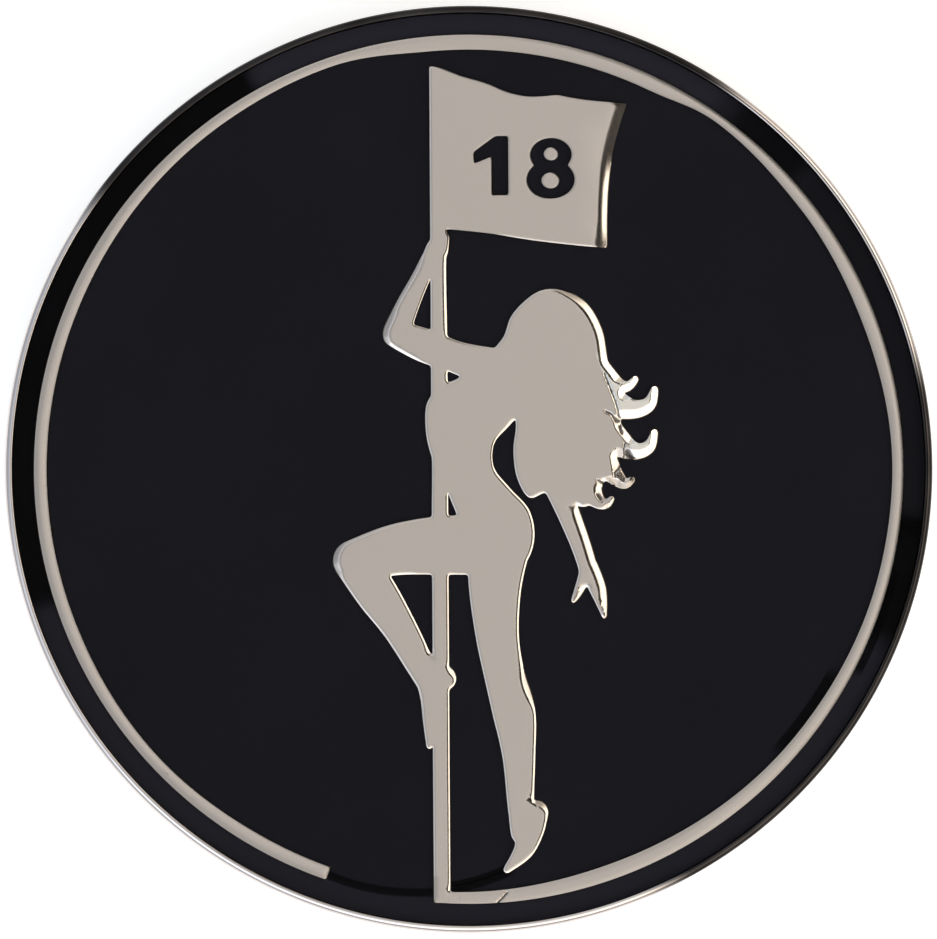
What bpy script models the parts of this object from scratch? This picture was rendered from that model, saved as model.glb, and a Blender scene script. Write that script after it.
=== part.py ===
"""A one-inch golf ball marker: a die-struck coin, black enamel in its recesses and a clear epoxy dome.

The coin lies flat. Its back rests on Z = 0, its face looks up along +Z and the flag points along +Y.
Outlines are drawn in millimetres around the coin's centre, and meshes are written in metres.
"""

import math

import bmesh
import bpy
from mathutils import Vector

MM = 0.001

# The coin's section.
COIN_RADIUS = 12.7
METAL_THICKNESS = 2.0
RIM_INNER_RADIUS = 12.5
RIM_ROUNDING = 0.05
EDGE_CHAMFER = 0.12
ARTWORK_TOP = 1.9
RECESS_FLOOR = 1.5
ENAMEL_TOP = 1.8
RIM_STEP = 0.1

# The clear dome.
DOME_BASE = 1.92
DOME_EDGE_TOP = 2.0
DOME_CROWN = 2.36
DOME_FLATNESS = 2.6
DOME_RINGS = 9

# Room between pieces that the enamel and the resin fill on the real coin.
GAP = 0.02

# The line ring, which is open between its end and the foot of the pole. Its width wavers, as hand-cut
# artwork does: (degrees round the coin, width).
RING_RADIUS = 11.9
RING_WIDTHS = [
    (265.4, 0.31), (290, 0.42), (320, 0.355), (345, 0.31), (360, 0.3), (382, 0.395), (398, 0.345),
    (415, 0.225), (424, 0.4), (455, 0.405), (468, 0.25), (485, 0.29), (520, 0.345), (560, 0.345),
    (582, 0.31), (600, 0.365), (610.5, 0.36),
]
RING_STEPS = 150

# The flag pole and its flag.
POLE_X = -0.8
POLE_WIDTH = 0.445
POLE_TOP = 11.04
POLE_FOOT = -11.87
POLE_SLANT = 0.1
FLAG_EDGE = [
    [(-1.02, 11.04)],
    [(-0.7, 10.98), (-0.1, 10.75), (0.55, 10.56), (1.15, 10.31), (1.75, 10.19), (2.5, 10.23)],
    [(3.3, 10.09), (4.38, 9.99)],
    [(4.02, 8.8), (3.85, 7.55), (3.81, 6.04)],
    [(3.0, 6.11), (1.7, 6.27), (0.6, 6.45), (-0.5, 6.57), (-0.85, 6.61)],
]

# The digits on the flag.
ONE_STEM = (0.67, 1.13)
ONE_HEIGHT = (7.49, 9.12)
ONE_FLAG = [(0.17, 8.68), (0.2, 8.36), (0.67, 8.55)]
ONE_SHOULDER = 0.1
EIGHT_LOBES = [(2.3, 8.6, 0.57, 0.46), (2.29, 7.92, 0.66, 0.53)]
EIGHT_COUNTERS = [(2.3, 8.62, 0.2, 0.18), (2.28, 7.89, 0.25, 0.22)]
DIGIT_DEPTH = 0.3

# The figure: limbs are strokes along (x, y, half width), and the rest are closed outlines.
LIMBS = {
    "hand": [(-1.0, 5.67, 0.24), (-0.84, 6.01, 0.31), (-0.7, 6.31, 0.2)],
    "forearm": [(-0.95, 5.9, 0.25), (-1.28, 5.25, 0.25), (-1.66, 4.47, 0.31), (-1.95, 3.75, 0.36)],
    "upper_arm": [(-1.95, 3.69, 0.37), (-1.2, 3.39, 0.46), (-0.3, 3.05, 0.44), (0.75, 2.72, 0.58)],
    "raised_thigh": [(0.7, -2.1, 0.8), (-0.7, -2.09, 0.8), (-2.0, -2.2, 0.7), (-3.14, -2.5, 0.58)],
    "raised_shin": [(-3.14, -2.52, 0.57), (-2.54, -3.4, 0.57), (-1.89, -4.4, 0.46), (-1.1, -5.85, 0.36)],
    "heel": [(-1.3, -5.25, 0.3), (-0.72, -5.73, 0.34)],
    "raised_foot": [(-1.22, -5.45, 0.34), (-1.0, -6.15, 0.38), (-1.04, -6.9, 0.26), (-1.12, -7.57, 0.09)],
    "standing_leg": [
        (0.84, -1.85, 0.9),
        (0.7, -3.15, 0.73),
        (0.75, -4.55, 0.59),
        (0.95, -5.7, 0.55),
        (1.2, -6.7, 0.58),
        (1.32, -7.85, 0.45),
        (1.36, -9.05, 0.37),
        (1.44, -9.95, 0.35),
    ],
    "standing_foot": [(1.8, -9.41, 0.32), (1.62, -9.9, 0.37), (1.43, -10.45, 0.27), (0.98, -10.97, 0.1)],
    "trailing_arm": [(1.95, 0.65, 0.5), (2.5, -0.7, 0.34), (3.03, -2.05, 0.27), (3.3, -2.93, 0.25)],
    "fingers": [(3.24, -2.7, 0.27), (3.52, -3.35, 0.22), (3.69, -4.07, 0.06)],
    "thumb": [(3.22, -2.8, 0.2), (3.0, -3.31, 0.13), (2.84, -3.63, 0.07)],
    "curl_high": [(3.6, 2.8, 0.25), (4.02, 2.32, 0.22), (4.36, 2.24, 0.13), (4.57, 2.43, 0.09)],
    "curl_upper": [(3.7, 1.9, 0.5), (4.45, 1.62, 0.27), (4.93, 1.74, 0.19), (5.1, 2.14, 0.1)],
    "curl_middle": [(3.8, 0.9, 0.5), (4.5, 0.48, 0.24), (4.93, 0.58, 0.17), (5.09, 0.97, 0.09)],
    "curl_lower": [(3.7, 0.15, 0.4), (4.0, -0.22, 0.24), (4.27, -0.42, 0.14), (4.45, -0.32, 0.09)],
    "curl_last": [(3.2, -0.45, 0.4), (3.5, -0.88, 0.22), (3.75, -0.98, 0.13), (3.9, -0.84, 0.08)],
}
TORSO = [
    [(0.2, 3.25), (1.5, 2.95), (1.75, 1.95), (1.13, 1.2), (0.7, 0.7), (0.68, 0.05), (1.09, -0.5)],
    [(1.64, -1.13), (1.78, -1.9), (1.52, -2.6), (0.9, -2.85), (0.2, -2.79), (-0.3, -2.55)],
    [(-0.38, -2.15), (-0.3, -1.45), (-0.5, -0.85), (-0.75, -0.25), (-1.05, 0.45), (-1.18, 1.15)],
    [(-1.12, 1.85), (-0.66, 2.31), (-0.2, 2.55)],
]
HAIR = [
    [(0.62, 3.05), (0.98, 3.63), (1.18, 4.17), (1.6, 4.63), (2.05, 4.89), (2.6, 4.87), (3.25, 4.52)],
    [(3.67, 3.78), (3.83, 2.88), (4.12, 1.95), (4.14, 0.95), (3.9, 0.05), (3.3, -1.0), (2.7, -0.9)],
    [(2.15, -0.65), (1.65, -0.8), (1.32, -0.25), (1.22, 0.5), (1.28, 1.35), (0.9, 2.25)],
]

# Where the pools closed in by the figure lie: corners in the metal around each.
CLOSED_POOLS = {
    "enamel_elbow_gap": [(-0.8, 5.65), (-1.5, 4.65), (-1.8, 3.75), (-0.8, 3.55)],
    "enamel_underarm_gap": [(-0.8, 2.95), (0.0, 2.8), (0.1, 2.4), (-0.8, 2.15)],
    "enamel_waist_gap": [(-0.8, -0.45), (-0.2, -0.75), (-0.2, -1.75), (-0.8, -1.75)],
    "enamel_knee_gap": [(-0.8, -2.55), (-2.4, -2.55), (-2.1, -3.55), (-0.8, -5.55)],
}

# How far a cutter reaches past what it cuts.
CUTTER_MARGIN = 0.5

# How finely curves are drawn.
ROUND_STEPS = 120
SPAN_STEPS = 5
CAP_STEPS = 8
ELLIPSE_STEPS = 28
SMOOTH_ANGLE = math.radians(35)


def clear_scene():
    for item in list(bpy.data.objects):
        bpy.data.objects.remove(item, do_unlink=True)


def material(name, colour, roughness, metallic=0.0, alpha=1.0):
    made = bpy.data.materials.new(name)
    made.use_nodes = True
    shader = made.node_tree.nodes["Principled BSDF"]
    shader.inputs["Base Color"].default_value = (*colour, 1.0)
    shader.inputs["Roughness"].default_value = roughness
    shader.inputs["Metallic"].default_value = metallic
    shader.inputs["Alpha"].default_value = alpha
    return made


def add_object(name, bm, collection, finish=None):
    """Writes a bmesh drawn in millimetres as an object in metres, shaded smooth across its round faces."""
    bmesh.ops.recalc_face_normals(bm, faces=bm.faces)
    bmesh.ops.scale(bm, vec=Vector((MM, MM, MM)), verts=bm.verts)
    mesh = bpy.data.meshes.new(name)
    bm.to_mesh(mesh)
    bm.free()
    mesh.shade_smooth()
    mesh.set_sharp_from_angle(angle=SMOOTH_ANGLE)
    made = bpy.data.objects.new(name, mesh)
    collection.objects.link(made)
    if finish is not None:
        mesh.materials.append(finish)
    return made


def hide_as_cutter(cutter):
    cutter.hide_render = True
    cutter.display_type = "WIRE"
    return cutter


def cut(target, cutter):
    """Takes a cutter, or every cutter of a collection, away from an object."""
    step = target.modifiers.new(cutter.name, "BOOLEAN")
    step.operation = "DIFFERENCE"
    step.solver = "EXACT"
    if isinstance(cutter, bpy.types.Collection):
        step.operand_type = "COLLECTION"
        step.collection = cutter
    else:
        step.object = cutter


def prism(name, outline, low, high, collection, finish=None):
    """A closed outline stretched from one height to another."""
    bm = bmesh.new()
    base = bm.faces.new([bm.verts.new((x, y, low)) for x, y in outline])
    stretched = bmesh.ops.extrude_face_region(bm, geom=[base])
    top = [v for v in stretched["geom"] if isinstance(v, bmesh.types.BMVert)]
    bmesh.ops.translate(bm, vec=Vector((0, 0, high - low)), verts=top)
    return add_object(name, bm, collection, finish)


def turned(name, profile, collection, finish=None):
    """A profile of (radius, height) that starts and ends on the Z axis, turned around it."""
    bm = bmesh.new()
    points = [bm.verts.new((radius, 0, height)) for radius, height in profile]
    edges = [bm.edges.new(pair) for pair in zip(points, points[1:])]
    bmesh.ops.spin(
        bm,
        geom=points + edges,
        cent=(0, 0, 0),
        axis=(0, 0, 1),
        angle=math.tau,
        steps=ROUND_STEPS,
        use_merge=True,
    )
    bmesh.ops.remove_doubles(bm, verts=bm.verts, dist=0.0001)
    return add_object(name, bm, collection, finish)


def through(points, closed=False):
    """A smooth curve through points of any number of coordinates, SPAN_STEPS samples to a span."""
    count = len(points)
    spans = count if closed else count - 1
    curve = []
    for i in range(spans):
        if closed:
            near = [points[(i + k) % count] for k in (-1, 0, 1, 2)]
        else:
            near = [points[min(max(i + k, 0), count - 1)] for k in (-1, 0, 1, 2)]
        for step in range(SPAN_STEPS):
            curve.append(spline_point(near, step / SPAN_STEPS))
    if not closed:
        curve.append(tuple(points[-1]))
    return curve


def spline_point(near, t):
    """Catmull-Rom between the middle two of four points."""
    mixed = []
    for a, b, c, d in zip(*near):
        cubic = 3 * b - a - 3 * c + d
        square = 2 * a - 5 * b + 4 * c - d
        mixed.append(b + 0.5 * t * (c - a + t * (square + t * cubic)))
    return tuple(mixed)


def cornered(runs):
    """A closed outline of smooth runs. Each run starts at the corner that ends the run before it."""
    outline = []
    for before, run in zip([runs[-1]] + runs[:-1], runs):
        outline += through([before[-1]] + run)[1:]
    return outline


def rounded(runs):
    """A closed outline that is smooth all round."""
    return through([point for run in runs for point in run], closed=True)


def limb(stations, growth=0.0):
    """The outline of a stroke along (x, y, half width), with round ends."""
    path = [(x, y, half + growth) for x, y, half in through(stations)]
    left, right = [], []
    for i, (x, y, half) in enumerate(path):
        ahead = path[min(i + 1, len(path) - 1)]
        behind = path[max(i - 1, 0)]
        along = Vector((ahead[0] - behind[0], ahead[1] - behind[1])).normalized()
        left.append((x - along.y * half, y + along.x * half))
        right.append((x + along.y * half, y - along.x * half))
    return cap(path[0], left[0]) + right + cap(path[-1], right[-1]) + left[::-1]


def cap(end, start):
    """The half circle round a stroke's end that starts at one side of it, without its two end points."""
    middle = Vector(end[:2])
    arm = Vector(start) - middle
    points = []
    for step in range(1, CAP_STEPS):
        turn = math.pi * step / CAP_STEPS
        x = arm.x * math.cos(turn) - arm.y * math.sin(turn)
        y = arm.x * math.sin(turn) + arm.y * math.cos(turn)
        points.append((middle.x + x, middle.y + y))
    return points


def grown(outline, distance):
    """A closed outline moved outwards by a distance that is small beside its curves."""
    area = sum(
        a[0] * b[1] - b[0] * a[1] for a, b in zip(outline, outline[1:] + outline[:1])
    )
    outwards = distance if area > 0 else -distance
    moved = []
    for before, point, after in zip(
        outline[-1:] + outline[:-1], outline, outline[1:] + outline[:1]
    ):
        first = Vector((point[0] - before[0], point[1] - before[1])).normalized()
        second = Vector((after[0] - point[0], after[1] - point[1])).normalized()
        normal = Vector((first.y + second.y, -first.x - second.x))
        reach = outwards * 2 / max(normal.length_squared, 1.0)
        moved.append((point[0] + normal.x * reach, point[1] + normal.y * reach))
    return moved


def ellipse(shape, growth=0.0):
    x, y, half_width, half_height = shape
    turns = [math.tau * step / ELLIPSE_STEPS for step in range(ELLIPSE_STEPS)]
    return [
        (
            x + (half_width + growth) * math.cos(turn),
            y + (half_height + growth) * math.sin(turn),
        )
        for turn in turns
    ]


def ring_width(degrees):
    """The line's width in a direction, eased between the two stations around it."""
    for (before, width), (after, next_width) in zip(RING_WIDTHS, RING_WIDTHS[1:]):
        if degrees <= after:
            share = (degrees - before) / (after - before)
            return width + (next_width - width) * share * share * (3 - 2 * share)
    return RING_WIDTHS[-1][1]


def ring_outline():
    """The open line ring, round outside and wavering inside."""
    start = RING_WIDTHS[0][0]
    sweep = RING_WIDTHS[-1][0] - start
    outer, inner = [], []
    for step in range(RING_STEPS + 1):
        degrees = start + sweep * step / RING_STEPS
        turn = math.radians(degrees)
        inside = RING_RADIUS - ring_width(degrees)
        outer.append((RING_RADIUS * math.cos(turn), RING_RADIUS * math.sin(turn)))
        inner.append((inside * math.cos(turn), inside * math.sin(turn)))
    return outer + inner[::-1]


def pole_outline():
    left = POLE_X - POLE_WIDTH / 2
    right = POLE_X + POLE_WIDTH / 2
    return [(left, POLE_FOOT), (right, POLE_FOOT), (right, POLE_TOP - POLE_SLANT), (left, POLE_TOP)]


def one_outline():
    left, right = ONE_STEM
    low, high = ONE_HEIGHT
    return [(left, low), (right, low), (right, high), (left + ONE_SHOULDER, high)] + ONE_FLAG


def artwork_cutters(name, growth):
    """A collection with every raised shape as a tall cutter, grown by a distance."""
    group = bpy.data.collections.new(name)
    bpy.context.scene.collection.children.link(group)
    outlines = {
        "ring": grown(ring_outline(), growth),
        "pole": grown(pole_outline(), growth),
        "flag": grown(cornered(FLAG_EDGE), growth),
        "torso": grown(rounded(TORSO), growth),
        "hair": grown(rounded(HAIR), growth),
    }
    for part, stations in LIMBS.items():
        outlines[part] = limb(stations, growth)
    for part, outline in outlines.items():
        low = RECESS_FLOOR - CUTTER_MARGIN
        high = METAL_THICKNESS + 2 * CUTTER_MARGIN
        cutter = prism(f"{name}_{part}", outline, low, high, group)
        hide_as_cutter(cutter)
    return group


def figure_eight(name, shrink, low, high, collection, finish=None):
    """Two lobes joined, less two counters, with every wall moved in by shrink."""
    upper, lower = [ellipse(lobe, -shrink) for lobe in EIGHT_LOBES]
    eight = prism(name, upper, low, high, collection, finish)
    lobe = hide_as_cutter(prism(f"{name}_lobe", lower, low, high, collection))
    join = eight.modifiers.new("lower_lobe", "BOOLEAN")
    join.operation = "UNION"
    join.solver = "EXACT"
    join.object = lobe
    for i, counter in enumerate(EIGHT_COUNTERS):
        outline = ellipse(counter, shrink)
        hole = prism(f"{name}_counter_{i}", outline, low - CUTTER_MARGIN, high + CUTTER_MARGIN, collection)
        cut(eight, hide_as_cutter(hole))
    return eight


def struck_body(artwork, finish, scene):
    """The coin: a turned blank with a flat back, its face sunk round the artwork and in the digits."""
    rim_top = METAL_THICKNESS
    profile = [
        (0, 0),
        (COIN_RADIUS - EDGE_CHAMFER, 0),
        (COIN_RADIUS, EDGE_CHAMFER),
        (COIN_RADIUS, rim_top - RIM_ROUNDING),
        (COIN_RADIUS - RIM_ROUNDING, rim_top),
        (RIM_INNER_RADIUS - RIM_STEP, rim_top),
        (RIM_INNER_RADIUS - 2 * RIM_STEP, ARTWORK_TOP),
        (0, ARTWORK_TOP),
    ]
    body = turned("struck_body", profile, scene, finish)
    above = rim_top + CUTTER_MARGIN
    recess_profile = [
        (0, RECESS_FLOOR),
        (RIM_INNER_RADIUS, RECESS_FLOOR),
        (RIM_INNER_RADIUS, above),
        (0, above),
    ]
    recess = hide_as_cutter(turned("recess_cutter", recess_profile, scene))
    cut(recess, artwork)
    cut(body, recess)
    low = ARTWORK_TOP - DIGIT_DEPTH
    cut(body, hide_as_cutter(prism("one_cutter", one_outline(), low, above, scene)))
    cut(body, hide_as_cutter(figure_eight("eight_cutter", 0.0, low, above, scene)))


def enamel_pools(grown_artwork, finish, scene):
    """The main pool, and the four pools that the figure and the pole close in."""
    low = RECESS_FLOOR + GAP
    edge = RIM_INNER_RADIUS - GAP
    profile = [(0, low), (edge, low), (edge, ENAMEL_TOP), (0, ENAMEL_TOP)]
    field = turned("enamel_field", profile, scene, finish)
    cut(field, grown_artwork)
    for name, corners in CLOSED_POOLS.items():
        pool = prism(name, corners, low, ENAMEL_TOP, scene, finish)
        cut(pool, grown_artwork)
        below = low - CUTTER_MARGIN
        above = ENAMEL_TOP + CUTTER_MARGIN
        island = prism(f"{name}_island", corners, below, above, scene)
        cut(field, hide_as_cutter(island))


def enamel_digits(finish, scene):
    low = ARTWORK_TOP - DIGIT_DEPTH + GAP
    prism("enamel_numeral_1", grown(one_outline(), -GAP), low, ENAMEL_TOP, scene, finish)
    figure_eight("enamel_numeral_8", GAP, low, ENAMEL_TOP, scene, finish)


def epoxy_dome(finish, scene):
    """Clear resin, flat below and crowned above, steepest at its edge as surface tension leaves it."""
    radius = RIM_INNER_RADIUS - GAP
    profile = [(0, DOME_BASE), (radius, DOME_BASE)]
    for ring in range(DOME_RINGS + 1):
        share = math.cos(math.pi / 2 * ring / DOME_RINGS)
        height = DOME_EDGE_TOP + (DOME_CROWN - DOME_EDGE_TOP) * (1 - share**DOME_FLATNESS)
        profile.append((radius * share, height))
    turned("epoxy_dome", profile, scene, finish)


def main():
    clear_scene()
    scene = bpy.context.scene.collection
    nickel = material("nickel_plate", (0.46, 0.42, 0.37), 0.28, metallic=1.0)
    enamel = material("black_enamel", (0.006, 0.006, 0.008), 0.08)
    resin = material("clear_epoxy", (0.95, 0.95, 0.93), 0.03, alpha=0.15)
    struck_body(artwork_cutters("artwork", 0.0), nickel, scene)
    enamel_pools(artwork_cutters("artwork_with_gap", GAP), enamel, scene)
    enamel_digits(enamel, scene)
    epoxy_dome(resin, scene)


main()
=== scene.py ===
"""Looks of the golf ball marker: struck nickel relief, black enamel and a clear dome, seen from above.

Lengths here are in millimetres around the coin's centre, and meshes are written in metres.
"""

import math

import bmesh
import bpy
import numpy as np
from mathutils import Matrix, Vector
from mathutils.geometry import delaunay_2d_cdt
from mathutils.kdtree import KDTree


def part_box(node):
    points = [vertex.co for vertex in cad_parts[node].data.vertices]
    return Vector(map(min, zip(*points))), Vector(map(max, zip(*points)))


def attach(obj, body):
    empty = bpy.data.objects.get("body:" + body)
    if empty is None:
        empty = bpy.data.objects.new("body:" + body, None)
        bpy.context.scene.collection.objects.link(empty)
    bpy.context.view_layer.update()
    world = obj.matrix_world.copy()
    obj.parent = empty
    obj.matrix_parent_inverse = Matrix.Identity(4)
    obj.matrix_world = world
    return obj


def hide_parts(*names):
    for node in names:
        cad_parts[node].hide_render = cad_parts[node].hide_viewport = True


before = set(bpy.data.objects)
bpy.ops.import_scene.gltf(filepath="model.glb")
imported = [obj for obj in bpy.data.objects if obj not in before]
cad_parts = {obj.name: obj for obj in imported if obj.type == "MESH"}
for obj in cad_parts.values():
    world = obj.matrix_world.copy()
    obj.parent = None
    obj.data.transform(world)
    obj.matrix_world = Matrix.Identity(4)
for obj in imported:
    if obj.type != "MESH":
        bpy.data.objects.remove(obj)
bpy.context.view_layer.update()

MM = 0.001

# Levels and radii of the coin, from the frame.
GAP = 0.02
COIN_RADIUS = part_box("struck_body")[1].x / MM
RIM_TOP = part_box("struck_body")[1].z / MM
RIM_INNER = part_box("enamel_field")[1].x / MM + GAP
RECESS_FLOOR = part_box("enamel_field")[0].z / MM - GAP
ENAMEL_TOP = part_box("enamel_field")[1].z / MM
ARTWORK_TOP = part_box("epoxy_dome")[0].z / MM - GAP
DOME_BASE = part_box("epoxy_dome")[0].z / MM
DOME_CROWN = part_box("epoxy_dome")[1].z / MM

# How the artwork's outlines are smoothed and its shoulders are worn round.
OUTLINE_STEP = 0.05
CORNER_TURN = math.radians(32)
LIP = 0.015
SKIRT = 0.035
POLE_RIGHT = -0.58
SHOULDER = 0.05
WORN_SHOULDER = 0.21
BEVEL_FALL = 0.085
BEVEL_EASING = 12
RING_SHOULDER = 0.185
RING_SLOPE = 0.12
CURL_DROP = 0.085
SHOULDER_RINGS = (0.012, 0.03, 0.055, 0.085, 0.12, 0.16, 0.205, 0.255, 0.31)
FLAT_STEP = 0.8
CURL_STEP = 0.028
FINE_PATCHES = ((2.9, -1.3, 5.2, 2.5), (3.0, 2.5, 4.2, 4.3), (0.55, -12.0, 1.15, -11.5))

# The share of a bevel's width over which it runs straight before it eases into the flat, and the flag's.
BEVEL_STRAIGHT = 0.5
FLAG_STRAIGHT = 0.3

# Slopes of edges that were left nearly flat, and of plain and fully worn bevels.
CLEAN_SLOPE = 0.12
PLAIN_SLOPE = 0.4
WORN_SLOPE = 0.7

# Outline points this far out belong to the ring, and its inner outline lies within the second radius.
RING_FROM = 11.2
RING_INSIDE = 11.8

# Fine strokes struck between the strands of hair, and one across the ring, with painted shade in them: their
# colour is made near black: (half width, points).
STROKE_DEPTH = 0.03
STROKES = (
    (0.032, ((3.72, 2.6), (3.88, 2.2), (4.03, 1.8), (4.14, 1.4))),
    (0.035, ((3.76, 1.56), (3.9, 1.49), (3.98, 1.38))),
    (0.06, ((4.0, 1.36), (4.07, 1.3))),
    (0.03, ((4.14, 1.15), (4.2, 0.95))),
    (0.09, ((4.34, 0.46), (4.48, 0.24))),
    (0.02, ((4.26, 0.66), (4.24, 0.3), (4.1, 0.0))),
    (0.025, ((4.1, -0.02), (4.0, -0.12), (4.02, -0.24))),
    (0.03, ((3.52, -0.32), (3.66, -0.42), (3.86, -0.44))),
    (0.045, ((3.52, -0.72), (3.6, -0.84))),
    (0.026, ((0.7, -11.9), (0.98, -11.6))),
)
RIM_SEGMENTS = 360

# The rim's section, as (how far out from its inner edge, how far below its top).
RIM_CROWN = (
    (0.0, 0.04), (0.006, 0.02), (0.018, 0.006), (0.035, 0.0), (0.06, 0.002), (0.09, 0.011),
    (0.12, 0.026), (0.15, 0.047), (0.175, 0.073), (0.191, 0.103), (0.199, 0.14), (0.2, 0.18),
)
HEEL = 0.12
DOME_SEGMENTS = 240
DOME_RINGS = 26

# The floor is a lit white panel, as in a product studio.
FLOOR_GLOW = 0.55

# What the studio's dim ceiling takes off the resin's mirror.
MIRROR_LOSS = 0.0301

# Painted reflection: how the enamel's tone is made lighter or darker along the outer channel, from this
# radius out, standing in for the resin's edge mirroring the studio: (direction, half width, softness in
# degrees, change).
CHANNEL_INNER = 11.7
CHANNEL_REFLECTIONS = (
    (158.5, 38.5, 2, -0.86),
    (267.5, 69.5, 2, 0.45),
    (345, 7, 3, -0.85),
    (16, 22, 4, -0.3),
    (47, 4, 3, -0.75),
    (87, 30, 3, 0.85),
)

ENAMEL_COLOUR = (0.0095, 0.0094, 0.0138)

# Painted reflection, dark arcs in the enamel: (centre, least and most radius, (direction, half width,
# softness in degrees)).
PAINTED_DARK_ARCS = (
    ((-1.5, -5.5, 0), 6.0, 6.17, (263, 12, 2)),
    ((-1.5, -5.5, 0), 5.9, 6.0, (271, 3, 3)),
    ((0, 0, 0), 11.3, 11.5, (324, 5, 3)),
    ((0, 0, 0), 11.95, 12.1, (339, 6, 2)),
)

ARC_EDGE = 0.06
ARC_DARKNESS = 0.8

# Painted highlight on the curls: a direction across the coin, how far along it they lie, and how far up the
# coin.
CURL_HIGHLIGHT_SIDE = (1, 0.35, 0)
CURL_HIGHLIGHT_REACH = (4.63, 7.0)
CURL_HIGHLIGHT_SPAN = (0.4, 3.0)

# Painted reflection, parts of the rim's top that are darkened: (direction, half width, softness in degrees).
RIM_DARK_REFLECTIONS = ((100, 41, 8), (334, 35, 9))
RIM_REFLECTION_HEIGHTS = (1.85, 3.0)

# A colour ramp holds levels up to 1, so the studio's are stored divided by this.
RAMP_SCALE = 4.0

# How much of the coin's plane the camera sees along the picture's longer side.
VIEW_WIDTH = 25.70043

# Light from the studio by how far it comes in from straight above, as the sine of that angle.
LIGHT_BY_TILT = (
    (0.0, 0.735), (0.12, 0.755), (0.25, 0.84), (0.4, 0.95),
    (0.6, 1.1), (0.75, 1.25), (0.9, 0.72), (1.0, 0.48),
)

# Dimmer and brighter parts of the studio: (amount, least and most tilt, softness, (direction, half width,
# softness in degrees)).
DIM_PARTS = (
    (0.98, 0.25, 0.6, 0.05, (22, 48, 12)),
    (0.5, 0.28, 0.36, 0.05, (180, 60, 15)),
    (0.35, 0.12, 0.24, 0.06, (180, 75, 20)),
    (0.45, 0.62, 0.86, 0.08, (120, 58, 14)),
)
BRIGHT_PARTS = (
    (1.15, 0.66, 0.86, 0.04, (314, 84, 20)),
    (0.2, 0.13, 0.19, 0.04, (0, 55, 25)),
    (0.3, 0.33, 0.6, 0.06, (298, 30, 12)),
)


def patch(left, low, right, high):
    """A fine grid of places over a rectangle."""
    x, y = np.meshgrid(np.arange(left, right, CURL_STEP), np.arange(low, high, CURL_STEP))
    shaken = np.stack([x.ravel(), y.ravel()], 1)
    return shaken + 0.2 * CURL_STEP * np.sin(shaken[:, ::-1] * 91.7)


class Outline:
    """A set of closed outlines that any place can be measured against."""

    def __init__(self, loops):
        self.loops = loops
        self.points = np.concatenate(loops)
        self.normals = np.concatenate([outward_normals(loop) for loop in loops])
        self.ahead = np.concatenate([np.roll(loop, -1, 0) for loop in loops])
        self.behind = np.concatenate([np.roll(loop, 1, 0) for loop in loops])
        self.tree = KDTree(len(self.points))
        for i, (x, y) in enumerate(self.points):
            self.tree.insert((x, y, 0), i)
        self.tree.balance()

    def measure(self, places):
        """Each place's distance to the outlines, and which outline point it is nearest to."""
        which = np.array([self.tree.find((x, y, 0))[1] for x, y in places], int)
        distances = []
        for other in (self.ahead, self.behind):
            first = self.points[which]
            along = other[which] - first
            offset = places - first
            share = (offset * along).sum(1) / np.maximum((along**2).sum(1), 1e-12)
            rest = offset - np.clip(share, 0, 1)[:, None] * along
            distances.append(np.linalg.norm(rest, axis=1))
        return np.minimum(*distances), which


def artwork_loops():
    """The outlines between the artwork's flat top and its walls, with the metal on the left."""
    bm = bmesh.new()
    bm.from_mesh(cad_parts["struck_body"].data)
    bmesh.ops.remove_doubles(bm, verts=bm.verts, dist=1e-7)
    top = [
        face
        for face in bm.faces
        if face.normal.z > 0.99 and abs(face.calc_center_median().z / MM - ARTWORK_TOP) < 0.001
    ]
    is_top = set(top)
    following = {}
    # The list keeps the mesh's own order, so that each outline starts at the same point in every run.
    for face in top:
        for corner in face.loops:
            if corner.link_loop_radial_next.face not in is_top:
                following[corner.vert] = corner.link_loop_next.vert
    loops = []
    while following:
        start, ahead = following.popitem()
        loop = [start]
        while ahead is not start:
            loop.append(ahead)
            ahead = following.pop(ahead)
        loops.append(np.array([(v.co.x / MM, v.co.y / MM) for v in loop]))
    bm.free()
    return sorted(loops, key=len, reverse=True)


def without_short_edges(loop, least=0.03):
    kept = [loop[0]]
    for point in loop[1:]:
        if np.linalg.norm(point - kept[-1]) >= least:
            kept.append(point)
    if np.linalg.norm(kept[-1] - kept[0]) < least:
        kept.pop()
    return np.array(kept)


def turns_of(loop):
    """How far a loop turns at each of its points."""
    before = loop - np.roll(loop, 1, 0)
    after = np.roll(loop, -1, 0) - loop
    cross = before[:, 0] * after[:, 1] - before[:, 1] * after[:, 0]
    return np.arctan2(cross, (before * after).sum(1))


def span_points(near):
    """Points along the middle span of four, on a centripetal Catmull-Rom curve."""
    knots = [0.0]
    for a, b in zip(near, near[1:]):
        knots.append(knots[-1] + max(np.linalg.norm(b - a), 1e-6) ** 0.5)
    count = max(1, round(np.linalg.norm(near[2] - near[1]) / OUTLINE_STEP))
    times = knots[1] + (knots[2] - knots[1]) * np.arange(count) / count
    points = []
    for time in times:
        level = list(near)
        for depth in (1, 2, 3):
            level = [
                blend_knots(level[i], level[i + 1], knots, i, depth, time)
                for i in range(len(level) - 1)
            ]
            if depth == 2:
                level = level[:2]
        points.append(level[0])
    return points


def blend_knots(a, b, knots, i, depth, time):
    """One step of the pyramid of blends that makes a Catmull-Rom point."""
    low = knots[i] if depth < 3 else knots[1]
    high = knots[i + depth] if depth < 3 else knots[2]
    return a + (b - a) * (time - low) / (high - low)


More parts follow.
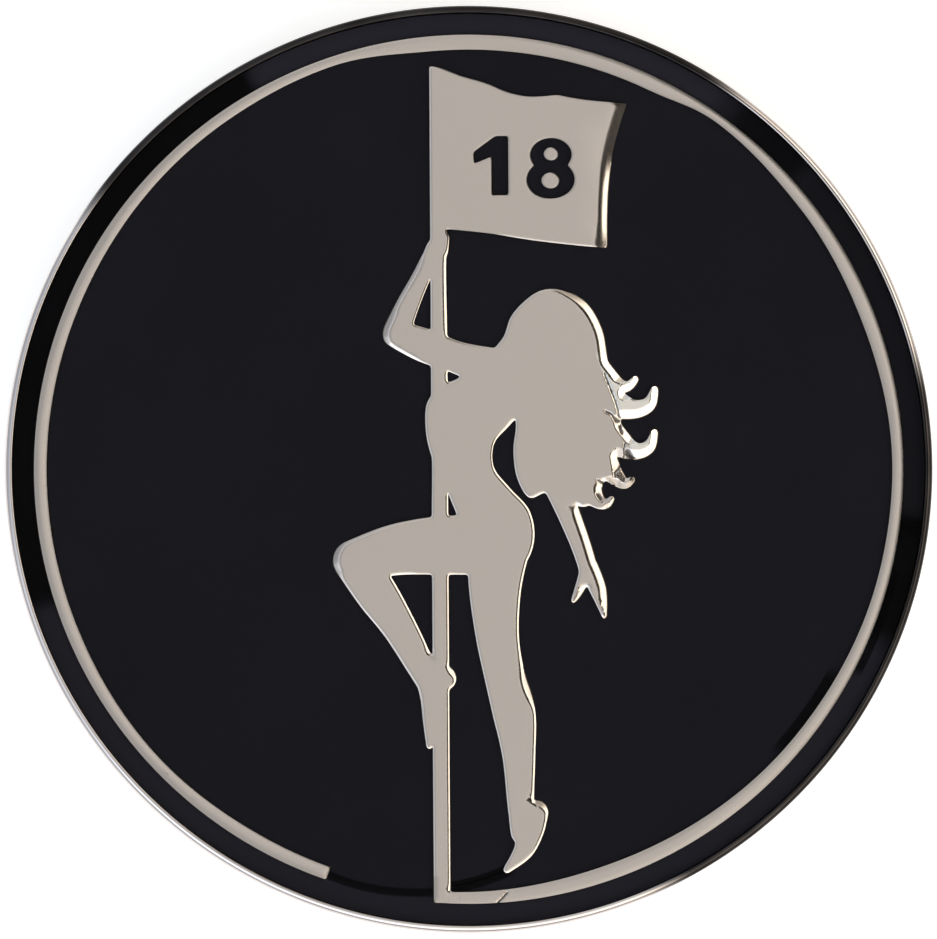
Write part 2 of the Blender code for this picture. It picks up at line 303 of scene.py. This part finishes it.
def smoothed(loop):
    """The loop as an even, dense outline that keeps its corners, slightly eased."""
    loop = without_short_edges(loop)
    corners = [i for i, turn in enumerate(turns_of(loop)) if abs(turn) > CORNER_TURN]
    count = len(loop)
    is_corner = set(corners)
    dense = []
    for i in range(count):
        a, b = loop[i], loop[(i + 1) % count]
        before = 2 * a - b if i in is_corner else loop[i - 1]
        after = 2 * b - a if (i + 1) % count in is_corner else loop[(i + 2) % count]
        dense += span_points([before, a, b, after])
    dense = np.array(dense)
    for _ in range(2):
        dense = 0.5 * dense + 0.25 * (np.roll(dense, 1, 0) + np.roll(dense, -1, 0))
    return dense


def outward_normals(loop):
    along = np.roll(loop, -1, 0) - np.roll(loop, 1, 0)
    along /= np.linalg.norm(along, axis=1)[:, None]
    return np.stack([along[:, 1], -along[:, 0]], 1)


def disc_grid(radius, step):
    line = np.arange(-radius, radius + step, step)
    x, y = np.meshgrid(line, line)
    points = np.stack([x.ravel(), y.ravel()], 1)
    return points[np.linalg.norm(points, axis=1) < radius - step / 2]


def stroke_shares(places):
    """How much of a stroke's full depth is cut at each place, from 0 to 1."""
    shares = np.zeros(len(places))
    for half_width, stroke in STROKES:
        points = np.array(stroke)
        for first, second in zip(points, points[1:]):
            along = second - first
            offset = places - first
            reach = np.clip(offset @ along / (along @ along), 0, 1)
            gap = np.linalg.norm(offset - reach[:, None] * along, axis=1)
            shares = np.maximum(shares, np.exp(-((gap / half_width) ** 4)))
    return shares


def bevel_drop(share, straight):
    """How far a bevel lies below the flat at a share of its width, for an edge slope and a width of 1."""
    eased = 1 - straight
    u = np.clip((share - straight) / eased, 0, 1)
    return 0.5 * eased * (1 - u) ** 2 + np.clip(straight - share, 0, 1)


def bevels(edge, outward):
    """The width and slope of the worn bevel along each outline point, from where it is and how it faces."""
    x, y = edge.T
    facing = outward[:, 0]
    rightward = np.clip(facing * 1.7 - 0.15, 0, 1) * np.clip((x - 0.6) / 2.0, 0, 1)
    on_leg = (x < 2.6) & (y < 0)
    bulging = np.clip((outward[:, 1] - 0.15) * 6, 0, 1) * (y < -5)
    rightward = np.where(on_leg, 0.15 + 0.6 * bulging, rightward) * (facing > 0)
    leftward = np.clip(-facing * 1.4 - 0.2, 0, 1) * (x < -1.3)
    leftward *= np.where(y > 4.3, 0.4, np.where(y > -2.9, 0.65, 0.1))
    worn = np.maximum(rightward, leftward)
    worn = np.where(beside_pole(edge, outward), 0.08 + 0.17 * (y > 2), worn)
    curls = (x > 4.0) & (x < 6) & (y > -2) & (y < 2.2)
    on_flag = (x > -1) & (y > 6.4)
    worn = np.where(curls, 0.1, worn) * ~on_flag
    width = SHOULDER + WORN_SHOULDER * worn
    steepest = BEVEL_FALL / (width * bevel_drop(0, BEVEL_STRAIGHT))
    steep = np.minimum(PLAIN_SLOPE + (WORN_SLOPE - PLAIN_SLOPE) * worn, steepest)
    clean = curls | on_flag & ((x > -0.5) & (y < 9.4) | (outward[:, 1] > 0.3))
    return np.stack([width, np.where(clean, CLEAN_SLOPE, steep)])


def beside_pole(edge, outward):
    """Which outline points lie on the pole's right side."""
    return (np.abs(edge[:, 0] - POLE_RIGHT) < 0.04) & (outward[:, 0] > 0.9)


def ring_fall(places, distance, edge):
    """How far the ring's rounded top has fallen at each place, with a crown line that wanders."""
    turn = np.arctan2(places[:, 1], places[:, 0])
    wander = 0.5 * np.sin(4 * turn + 1.2) + 0.35 * np.sin(9 * turn) + 0.07 * np.sin(23 * turn)
    inside = np.linalg.norm(edge, axis=1) < RING_INSIDE
    width = RING_SHOULDER + np.where(inside, 0.04, -0.03) * wander
    return RING_SLOPE * width / 2 * np.clip(1 - distance / width, 0, 1) ** 2


class Relief(Outline):
    """The artwork's outlines, and how high its worn metal stands at any place."""

    def __init__(self, loops):
        super().__init__(loops)
        eased = []
        for loop in loops:
            along = bevels(loop, outward_normals(loop))
            for _ in range(BEVEL_EASING):
                along = 0.5 * along + 0.25 * (np.roll(along, 1, 1) + np.roll(along, -1, 1))
            eased.append(along)
        self.bevels = np.concatenate(eased, 1)

    def heights(self, places):
        """The flat top, less the bevels, the ring, the sloping curls and flag, and the struck strokes."""
        distance, which = self.measure(places)
        edge, outward = self.points[which], self.normals[which]
        width, steep = self.bevels[:, which]
        fall = steep * width * bevel_drop(distance / width, BEVEL_STRAIGHT)
        on_ring = (np.linalg.norm(edge, axis=1) > RING_FROM) & ~beside_pole(edge, outward)
        fall = np.where(on_ring, ring_fall(places, distance, edge), fall)
        fall = np.maximum(fall, self.curl_fall(places))
        fall = np.maximum(fall, self.flag_fall(places))
        fall += STROKE_DEPTH * stroke_shares(places)
        return np.maximum(ARTWORK_TOP - fall, ENAMEL_TOP + LIP)

    def nearest_of(self, chosen, places):
        """For each place the nearest of the chosen outline points, and the way inwards from it."""
        edges, normals = self.points[chosen], self.normals[chosen]
        tree = KDTree(len(edges))
        for i, (x, y) in enumerate(edges):
            tree.insert((x, y, 0), i)
        tree.balance()
        which = np.array([tree.find((x, y, 0))[1] for x, y in places])
        offset = places - edges[which]
        inwards = -(offset * normals[which]).sum(1)
        return edges[which], normals[which], np.linalg.norm(offset, axis=1), inwards

    def curl_fall(self, places):
        """Curls slope down to their outer edges: steeply to the right and gently downwards."""
        x, y = self.points.T
        outer = (x > 4.05) & (x < 6) & (y > -1.4) & (y < 2.6) & (self.normals @ (0.77, -0.64) > 0.15)
        edges, normals, distance, _ = self.nearest_of(outer, places)
        upper = np.clip((edges[:, 1] + 0.1) / 0.4, 0, 1)
        slope = 0.2 + 0.14 * upper + 0.1 * np.clip(normals[:, 0], 0, 1)
        return slope * np.clip(CURL_DROP / slope - distance, 0, None)

    def flag_fall(self, places):
        """The flag's flying side rolls down, gently at the top and more widely at the lower corner."""
        x, y = self.points.T
        flying = (x > 3.7) & (x < 6) & (y > 6) & (self.normals[:, 0] > 0.8)
        edges, _, distance, inwards = self.nearest_of(flying, places)
        dull = np.clip((edges[:, 1] - 7.7) / 1.0, 0, 1)
        corner = np.clip((6.8 - edges[:, 1]) / 0.7, 0, 1)
        width = 0.3 + 0.08 * dull + 0.12 * corner
        steep = np.minimum(0.44 - 0.2 * dull, BEVEL_FALL / (width * bevel_drop(0, FLAG_STRAIGHT)))
        return steep * width * bevel_drop(inwards / width, FLAG_STRAIGHT) * (distance < 0.6)

    def shoulder_points(self):
        """Points on rings inside every outline, kept only where no other outline is nearer."""
        rings = []
        for i, offset in enumerate(SHOULDER_RINGS):
            ring = (self.points - self.normals * offset)[:: 1 + i // 4]
            rings.append(ring[self.measure(ring)[0] > 0.93 * offset])
        return np.concatenate(rings)


def rim_profile():
    """(radius, height) from the recess's edge over the crowned rim, down the side and in under the back."""
    inner = [(RIM_INNER - SKIRT, ENAMEL_TOP - 0.03), (RIM_INNER, ENAMEL_TOP + 0.02)]
    crown = [(RIM_INNER + across, RIM_TOP - drop) for across, drop in RIM_CROWN]
    side = [(COIN_RADIUS, RIM_TOP * share) for share in (0.8, 0.6, 0.4, 0.2)]
    heel = []
    for step in range(6):
        turn = math.radians(-90 * step / 5)
        heel.append((COIN_RADIUS - HEEL + HEEL * math.cos(turn), HEEL + HEEL * math.sin(turn)))
    back = [(COIN_RADIUS * share, 0.0) for share in (0.9, 0.6, 0.3)]
    return inner + crown + side + heel + back


def new_piece(name, bm, finish, slot, *nodes):
    """Writes a bmesh drawn in millimetres as a piece that stands for CAD nodes."""
    bmesh.ops.scale(bm, vec=Vector((MM, MM, MM)), verts=bm.verts)
    mesh = bpy.data.meshes.new(name)
    bm.to_mesh(mesh)
    bm.free()
    mesh.shade_smooth()
    mesh.set_sharp_from_angle(angle=math.radians(38))
    mesh.materials.append(finish)
    piece = bpy.data.objects.new(name, mesh)
    bpy.context.scene.collection.objects.link(piece)
    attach(piece, "root")
    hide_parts(*nodes)
    return piece


def face_triangles(relief):
    """The whole face inside the rim as triangles: points, triangles, and which of them are metal."""
    turns = np.arange(RIM_SEGMENTS) * math.tau / RIM_SEGMENTS
    circle = RIM_INNER * np.stack([np.cos(turns), np.sin(turns)], 1)
    flat = disc_grid(RIM_INNER - 0.3, FLAT_STEP)
    flat = flat[relief.measure(flat)[0] > SHOULDER_RINGS[-1] + 0.05]
    curls = np.concatenate([patch(*corners) for corners in FINE_PATCHES])
    curls = curls[relief.measure(curls)[0] > 0.03]
    flat = np.concatenate([flat, curls])
    outlines = relief.loops + [circle]
    points = np.concatenate(outlines + [relief.shoulder_points(), flat])
    edges, faces, start = [], [], 0
    for outline in outlines:
        numbers = list(range(start, start + len(outline)))
        edges += list(zip(numbers, numbers[1:] + numbers[:1]))
        faces.append(numbers)
        start += len(outline)
    made = delaunay_2d_cdt([Vector(p) for p in points], edges, faces, 0, 1e-6, True)
    places, _, triangles, origins, _, within = made
    disc = len(faces) - 1
    metal = [len([f for f in inside if f != disc]) % 2 == 1 for inside in within]
    return np.array([(p.x, p.y) for p in places]), triangles, metal, origins


def struck_metal(relief, finish):
    """The coin's metal as one closed skin: worn relief, walls, recess floor, rim, side and back."""
    places, triangles, metal, origins = face_triangles(relief)
    outline_count = len(relief.points)
    outline_of = {}
    for vertex, sources in enumerate(origins):
        for source in sources:
            outline_of[source] = vertex
    bm = bmesh.new()
    cut = bm.verts.layers.float.new("cut")
    heights = relief.heights(places)
    shares = stroke_shares(places)
    on_metal = {v for triangle, is_metal in zip(triangles, metal) if is_metal for v in triangle}
    on_floor = {v for triangle, is_metal in zip(triangles, metal) if not is_metal for v in triangle}
    top = {v: bm.verts.new((*places[v], heights[v])) for v in on_metal}
    floor = {v: bm.verts.new((*places[v], RECESS_FLOOR)) for v in on_floor}
    # The stroke shares are kept for the painted shade in the strokes.
    for v, vertex in top.items():
        vertex[cut] = shares[v]
    for triangle, is_metal in zip(triangles, metal):
        level = top if is_metal else floor
        bm.faces.new([level[v] for v in triangle])
    start = 0
    for loop in relief.loops:
        normals = outward_normals(loop)
        numbers = [outline_of[start + i] for i in range(len(loop))]
        skirts = [
            bm.verts.new((*(places[v] + SKIRT * normal), ENAMEL_TOP - 0.02))
            for v, normal in zip(numbers, normals)
        ]
        for i, v in enumerate(numbers):
            j = (i + 1) % len(numbers)
            w = numbers[j]
            bm.faces.new([skirts[i], skirts[j], top[w], top[v]])
            bm.faces.new([floor[v], floor[w], skirts[j], skirts[i]])
        start += len(loop)
    ring = [floor[outline_of[outline_count + i]] for i in range(RIM_SEGMENTS)]
    for radius, height in rim_profile():
        outer = []
        for i in range(RIM_SEGMENTS):
            turn = math.tau * i / RIM_SEGMENTS
            outer.append(bm.verts.new((radius * math.cos(turn), radius * math.sin(turn), height)))
        for i in range(RIM_SEGMENTS):
            j = (i + 1) % RIM_SEGMENTS
            bm.faces.new([ring[i], ring[j], outer[j], outer[i]])
        ring = outer
    centre = bm.verts.new((0, 0, 0))
    for i in range(RIM_SEGMENTS):
        bm.faces.new([ring[i], ring[(i + 1) % RIM_SEGMENTS], centre])
    bmesh.ops.recalc_face_normals(bm, faces=bm.faces)
    return new_piece("struck_metal", bm, finish, "nickel_plate", "struck_body")


def clear_dome(finish):
    """The resin: flat below, with a rounded edge that meets the rim and a low crown."""
    radius = RIM_INNER - GAP
    profile = [(radius * share, DOME_BASE) for share in (0.0, 0.5, 0.97)]
    profile += [(radius, DOME_BASE + 0.02), (radius, RIM_TOP - 0.01)]
    for ring in range(1, DOME_RINGS + 1):
        share = math.sin(math.pi / 2 * (1 - ring / DOME_RINGS))
        height = RIM_TOP + (DOME_CROWN - RIM_TOP) * (1 - share**2.6)
        profile.append((radius * share, height))
    bm = bmesh.new()
    points = [bm.verts.new((r, 0, z)) for r, z in profile]
    edges = [bm.edges.new(pair) for pair in zip(points, points[1:])]
    bmesh.ops.spin(
        bm,
        geom=points + edges,
        cent=(0, 0, 0),
        axis=(0, 0, 1),
        angle=math.tau,
        steps=DOME_SEGMENTS,
        use_merge=True,
    )
    bmesh.ops.remove_doubles(bm, verts=bm.verts, dist=0.0001)
    bmesh.ops.recalc_face_normals(bm, faces=bm.faces)
    return new_piece("clear_dome", bm, finish, "clear_epoxy", "epoxy_dome")


def add(tree, kind, inputs=None, **settings):
    """A node with its settings and its inputs, each a number, a colour or another node's output."""
    node = tree.nodes.new(kind)
    for name, value in settings.items():
        setattr(node, name, value)
    for name, value in (inputs or {}).items():
        if isinstance(value, bpy.types.NodeSocket):
            tree.links.new(value, node.inputs[name])
        else:
            node.inputs[name].default_value = value
    return node


def calc(tree, operation, a, b=0.0):
    return add(tree, "ShaderNodeMath", {0: a, 1: b}, operation=operation).outputs[0]


def window(tree, value, low, high, soft):
    """1 between low and high, falling smoothly to 0 over soft on each side."""
    rise = add(
        tree,
        "ShaderNodeMapRange",
        {"Value": value, "From Min": low - soft, "From Max": low},
        interpolation_type="SMOOTHSTEP",
    )
    fall = add(
        tree,
        "ShaderNodeMapRange",
        {"Value": value, "From Min": high, "From Max": high + soft, "To Min": 1.0, "To Max": 0.0},
        interpolation_type="SMOOTHSTEP",
    )
    return calc(tree, "MULTIPLY", rise.outputs[0], fall.outputs[0])


def new_material(name):
    made = bpy.data.materials.new(name)
    made.use_nodes = True
    made.node_tree.nodes.clear()
    output = made.node_tree.nodes.new("ShaderNodeOutputMaterial")
    return made, made.node_tree, output


def millimetres(tree):
    """Positions in millimetres, which every pattern here is sized in."""
    place = add(tree, "ShaderNodeTexCoord")
    return add(
        tree,
        "ShaderNodeVectorMath",
        {0: place.outputs["Object"], "Scale": 1 / MM},
        operation="SCALE",
    ).outputs[0]


def noise(tree, place, scale, detail=2.0, rough=0.5):
    return add(
        tree,
        "ShaderNodeTexNoise",
        {"Vector": place, "Scale": scale, "Detail": detail, "Roughness": rough},
    ).outputs[0]


def spread(tree, value, low, high):
    """A value from 0 to 1 taken to a range."""
    return add(
        tree, "ShaderNodeMapRange", {"Value": value, "To Min": low, "To Max": high}
    ).outputs[0]


def spread_both(tree, value, amount):
    """1 plus a share of a value that runs from -1 to 1."""
    return calc(tree, "ADD", calc(tree, "MULTIPLY", value, amount), 1.0)


def stretched(tree, place, scale, turn):
    """Positions squeezed and turned, for marks that run one way."""
    return add(
        tree, "ShaderNodeMapping", {"Vector": place, "Scale": scale, "Rotation": (0, 0, turn)}
    ).outputs[0]


def sector(tree, place, centre, half, soft):
    """1 within half degrees of a direction round the coin's centre, falling to 0 over soft degrees."""
    flat = add(tree, "ShaderNodeVectorMath", {0: place, 1: (1, 1, 0)}, operation="MULTIPLY").outputs[0]
    unit = add(tree, "ShaderNodeVectorMath", {0: flat}, operation="NORMALIZE").outputs[0]
    turn = math.radians(centre)
    towards = (math.cos(turn), math.sin(turn), 0)
    facing = add(
        tree, "ShaderNodeVectorMath", {0: unit, 1: towards}, operation="DOT_PRODUCT"
    ).outputs["Value"]
    return add(
        tree,
        "ShaderNodeMapRange",
        {
            "Value": facing,
            "From Min": math.cos(math.radians(half + soft)),
            "From Max": math.cos(math.radians(half)),
        },
        interpolation_type="SMOOTHSTEP",
    ).outputs[0]


def from_middle(tree, place):
    """The distance from the coin's axis."""
    flat = add(tree, "ShaderNodeVectorMath", {0: place, 1: (1, 1, 0)}, operation="MULTIPLY").outputs[0]
    return add(tree, "ShaderNodeVectorMath", {0: flat}, operation="LENGTH").outputs["Value"]


def beyond(tree, place, radius, soft):
    """0 inside a radius in millimetres, rising to 1 over soft."""
    return add(
        tree,
        "ShaderNodeMapRange",
        {"Value": from_middle(tree, place), "From Min": radius, "From Max": radius + soft},
        interpolation_type="SMOOTHSTEP",
    ).outputs[0]


def nickel_finish():
    made, tree, output = new_material("nickel_plate")
    place = millimetres(tree)
    cloud = noise(tree, place, 0.35, 3)
    grain = noise(tree, place, 9.0, 4, 0.6)
    tone = add(
        tree,
        "ShaderNodeMix",
        {0: cloud, 6: (0.635, 0.582, 0.556, 1), 7: (0.665, 0.612, 0.592, 1)},
        data_type="RGBA",
    ).outputs[2]
    _, up, height = add(tree, "ShaderNodeSeparateXYZ", {0: place}).outputs
    # Painted highlight: the curls' colour is made near white.
    sideways = add(
        tree, "ShaderNodeVectorMath", {0: place, 1: CURL_HIGHLIGHT_SIDE}, operation="DOT_PRODUCT"
    ).outputs["Value"]
    curl_highlight = calc(
        tree,
        "MULTIPLY",
        window(tree, sideways, *CURL_HIGHLIGHT_REACH, 0.06),
        window(tree, up, *CURL_HIGHLIGHT_SPAN, 0.25),
    )
    tone = add(
        tree,
        "ShaderNodeMix",
        {0: curl_highlight, 6: tone, 7: (0.96, 0.93, 0.9, 1)},
        data_type="RGBA",
    ).outputs[2]
    # Metal within 0.03 mm of the enamel's level is darker and browner.
    rise_from_enamel = add(
        tree,
        "ShaderNodeMapRange",
        {"Value": height, "From Min": ENAMEL_TOP, "From Max": ENAMEL_TOP + 0.03},
    ).outputs[0]
    colour = add(
        tree,
        "ShaderNodeMix",
        {0: rise_from_enamel, 6: (0.42, 0.37, 0.31, 1), 7: tone},
        data_type="RGBA",
    ).outputs[2]
    # Painted reflection: the rim's top is darkened in a few sectors, a little unevenly.
    on_rim = calc(
        tree,
        "MULTIPLY",
        beyond(tree, place, RIM_INNER - 0.1, 0.08),
        window(tree, height, *RIM_REFLECTION_HEIGHTS, 0.06),
    )
    rim_reflection_sectors = [sector(tree, place, *rim_reflection) for rim_reflection in RIM_DARK_REFLECTIONS]
    rim_reflection = calc(tree, "MULTIPLY", on_rim, calc(tree, "MAXIMUM", *rim_reflection_sectors))
    patches = spread(tree, noise(tree, place, 1.1, 3), 0.92, 1.0)
    # Painted shade in the struck strokes.
    stroke_shade = add(tree, "ShaderNodeAttribute", attribute_name="cut").outputs["Fac"]
    # The rim's painted reflection and the strokes' painted shade darken the colour to near black.
    dark = calc(tree, "MAXIMUM", calc(tree, "MULTIPLY", rim_reflection, patches), calc(tree, "MULTIPLY", stroke_shade, 0.9))
    colour = add(
        tree,
        "ShaderNodeMix",
        {0: dark, 6: colour, 7: (0.014, 0.012, 0.012, 1)},
        data_type="RGBA",
    ).outputs[2]
    scuffs = noise(tree, stretched(tree, place, (30, 1.2, 1.2), 0.6), 1.0, 3)
    cross_scuffs = noise(tree, stretched(tree, place, (1.0, 26, 1.0), 0.25), 1.0, 3)
    marks = calc(tree, "ADD", scuffs, cross_scuffs)
    rough = calc(tree, "ADD", spread(tree, grain, 0.14, 0.19), spread(tree, cloud, -0.02, 0.02))
    ripple = add(tree, "ShaderNodeBump", {"Height": cloud, "Strength": 0.25, "Distance": 0.00002})
    bump = add(
        tree,
        "ShaderNodeBump",
        {"Height": marks, "Strength": 0.1, "Distance": 0.000003, "Normal": ripple.outputs[0]},
    )
    shader = add(
        tree,
        "ShaderNodeBsdfPrincipled",
        {
            "Base Color": colour,
            "Metallic": 1.0,
            "Roughness": rough,
            "Normal": bump.outputs[0],
        },
    )
    tree.links.new(shader.outputs[0], output.inputs[0])
    return made


def enamel_finish():
    """Black enamel with painted reflections: lighter and darker sectors along the outer channel, and a few
    dark arcs.
    """
    made, tree, output = new_material("black_enamel")
    place = millimetres(tree)
    specks = noise(tree, place, 14.0, 2)
    tone = spread(tree, noise(tree, place, 0.3, 2), 0.88, 1.12)
    channel = beyond(tree, place, CHANNEL_INNER, 0.15)
    # Painted reflection: sectors of the outer channel are made lighter or darker.
    for centre, half, soft, change in CHANNEL_REFLECTIONS:
        part = calc(tree, "MULTIPLY", channel, sector(tree, place, centre, half, soft))
        tone = calc(tree, "ADD", tone, calc(tree, "MULTIPLY", part, change))
    # Painted reflection: the enamel is darkened along a few arcs.
    for centre, low, high, around in PAINTED_DARK_ARCS:
        offset = add(tree, "ShaderNodeVectorMath", {0: place, 1: centre}, operation="SUBTRACT").outputs[0]
        band = window(tree, from_middle(tree, offset), low, high, ARC_EDGE)
        dark_reflection = calc(tree, "MULTIPLY", band, sector(tree, place, *around))
        left = calc(tree, "SUBTRACT", 1.0, calc(tree, "MULTIPLY", dark_reflection, ARC_DARKNESS))
        tone = calc(tree, "MULTIPLY", tone, left)
    channels = {i: calc(tree, "MULTIPLY", tone, level) for i, level in enumerate(ENAMEL_COLOUR)}
    colour = add(tree, "ShaderNodeCombineColor", channels).outputs[0]
    orange_peel = add(tree, "ShaderNodeBump", {"Height": specks, "Strength": 0.08, "Distance": 0.000004})
    shader = add(
        tree,
        "ShaderNodeBsdfPrincipled",
        {
            "Base Color": colour,
            "Roughness": spread(tree, specks, 0.22, 0.28),
            "Specular IOR Level": 0.04,
            "Normal": orange_peel.outputs[0],
        },
    )
    tree.links.new(shader.outputs[0], output.inputs[0])
    return made


def epoxy_finish():
    """Clear resin: what lies under it shows through, and its upper skin mirrors by Fresnel's law."""
    made, tree, output = new_material("clear_epoxy")
    place = millimetres(tree)
    swell = noise(tree, place, 0.22, 1)
    bump = add(tree, "ShaderNodeBump", {"Height": swell, "Strength": 0.3, "Distance": 0.00002})
    facing = add(tree, "ShaderNodeNewGeometry").outputs["Backfacing"]
    mirror = add(tree, "ShaderNodeFresnel", {"IOR": 1.42, "Normal": bump.outputs[0]}).outputs[0]
    sheen = calc(tree, "MAXIMUM", calc(tree, "SUBTRACT", mirror, MIRROR_LOSS), 0.0)
    share = calc(tree, "MULTIPLY", sheen, calc(tree, "SUBTRACT", 1.0, facing))
    clear = add(tree, "ShaderNodeBsdfTransparent", {"Color": (0.985, 0.98, 0.965, 1)})
    rough = spread(tree, noise(tree, place, 3.0, 3), 0.02, 0.05)
    gloss = add(
        tree, "ShaderNodeBsdfAnisotropic", {"Roughness": rough, "Normal": bump.outputs[0]}
    )
    mixed = add(
        tree, "ShaderNodeMixShader", {0: share, 1: clear.outputs[0], 2: gloss.outputs[0]}
    )
    tree.links.new(mixed.outputs[0], output.inputs[0])
    return made


def pale_floor():
    made, tree, output = new_material("pale_floor")
    place = millimetres(tree)
    tone = spread(tree, noise(tree, place, 0.02, 2), 0.86, 0.9)
    colour = add(tree, "ShaderNodeCombineColor", {0: tone, 1: tone, 2: tone}).outputs[0]
    shader = add(tree, "ShaderNodeBsdfDiffuse", {"Color": colour})
    glow = add(tree, "ShaderNodeEmission", {"Color": colour, "Strength": FLOOR_GLOW})
    both = add(tree, "ShaderNodeAddShader", {0: shader.outputs[0], 1: glow.outputs[0]})
    tree.links.new(both.outputs[0], output.inputs[0])
    bm = bmesh.new()
    bmesh.ops.create_circle(bm, cap_ends=True, radius=4.0, segments=96)
    mesh = bpy.data.meshes.new("floor")
    bm.to_mesh(mesh)
    bm.free()
    mesh.materials.append(made)
    floor = bpy.data.objects.new("floor", mesh)
    bpy.context.scene.collection.objects.link(floor)


def soft_light():
    """A white studio round the coin, darker straight above, with its dimmer and brighter parts."""
    world = bpy.data.worlds.new("studio")
    bpy.context.scene.world = world
    world.use_nodes = True
    tree = world.node_tree
    tree.nodes.clear()
    direction = add(tree, "ShaderNodeTexCoord").outputs["Generated"]
    x, y, _ = add(tree, "ShaderNodeSeparateXYZ", {0: direction}).outputs
    flat = add(tree, "ShaderNodeCombineXYZ", {0: x, 1: y})
    tilt = add(tree, "ShaderNodeVectorMath", {0: flat.outputs[0]}, operation="LENGTH").outputs["Value"]
    ramp = add(tree, "ShaderNodeValToRGB", {0: tilt})
    while len(ramp.color_ramp.elements) < len(LIGHT_BY_TILT):
        ramp.color_ramp.elements.new(0.5)
    for element, (place, level) in zip(ramp.color_ramp.elements, LIGHT_BY_TILT):
        element.position = place
        element.color = (level / RAMP_SCALE, level / RAMP_SCALE, level / RAMP_SCALE, 1)
    base = calc(tree, "MULTIPLY", ramp.outputs[0], RAMP_SCALE)
    dark = 0.0
    for amount, low, high, soft, around in DIM_PARTS:
        band = window(tree, tilt, low, high, soft)
        part = calc(tree, "MULTIPLY", band, sector(tree, direction, *around))
        dark = calc(tree, "MAXIMUM", calc(tree, "MULTIPLY", part, amount), dark)
    lit = calc(tree, "MULTIPLY", base, calc(tree, "SUBTRACT", 1.0, dark))
    for amount, low, high, soft, around in BRIGHT_PARTS:
        band = window(tree, tilt, low, high, soft)
        part = calc(tree, "MULTIPLY", band, sector(tree, direction, *around))
        lit = calc(tree, "ADD", lit, calc(tree, "MULTIPLY", part, amount))
    warmth = add(
        tree, "ShaderNodeMapRange", {"Value": x, "From Min": -0.45, "From Max": 0.45, "To Min": -1.0}
    ).outputs[0]
    red = calc(tree, "MULTIPLY", lit, spread_both(tree, warmth, 0.08))
    blue = calc(tree, "MULTIPLY", lit, spread_both(tree, warmth, -0.12))
    colour = add(tree, "ShaderNodeCombineColor", {0: red, 1: lit, 2: blue}).outputs[0]
    background = add(tree, "ShaderNodeBackground", {"Color": colour})
    output = add(tree, "ShaderNodeOutputWorld")
    tree.links.new(background.outputs[0], output.inputs[0])


def overhead_camera():
    """Straight above with a slight lean towards the lower left, and a slight turn."""
    distance = 0.4
    lean = math.radians(2.2)
    towards = math.radians(241)
    turn = math.radians(-0.3)
    target = Vector((-0.011, -0.019, ARTWORK_TOP)) * MM
    away = Vector(
        (math.sin(lean) * math.cos(towards), math.sin(lean) * math.sin(towards), math.cos(lean))
    )
    camera = bpy.data.cameras.new("camera")
    camera.sensor_width = 36
    camera.lens = camera.sensor_width * distance / (VIEW_WIDTH * MM)
    camera.clip_start = 0.01
    camera.clip_end = 10
    seen = bpy.data.objects.new("camera", camera)
    across = Vector((math.cos(turn), math.sin(turn), 0))
    across = (across - away * across.dot(away)).normalized()
    up = away.cross(across)
    pose = Matrix((across, up, away)).transposed().to_4x4()
    pose.translation = target + away * distance
    seen.matrix_world = pose
    bpy.context.scene.collection.objects.link(seen)
    bpy.context.scene.camera = seen


def write_sizes():
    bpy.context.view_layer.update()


enamel = enamel_finish()
for name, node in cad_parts.items():
    if name.startswith("enamel"):
        node.data.materials.clear()
        node.data.materials.append(enamel)
struck_metal(Relief([smoothed(loop) for loop in artwork_loops()]), nickel_finish())
clear_dome(epoxy_finish())
pale_floor()
soft_light()
overhead_camera()
bpy.context.scene.view_settings.view_transform = "Standard"
write_sizes()
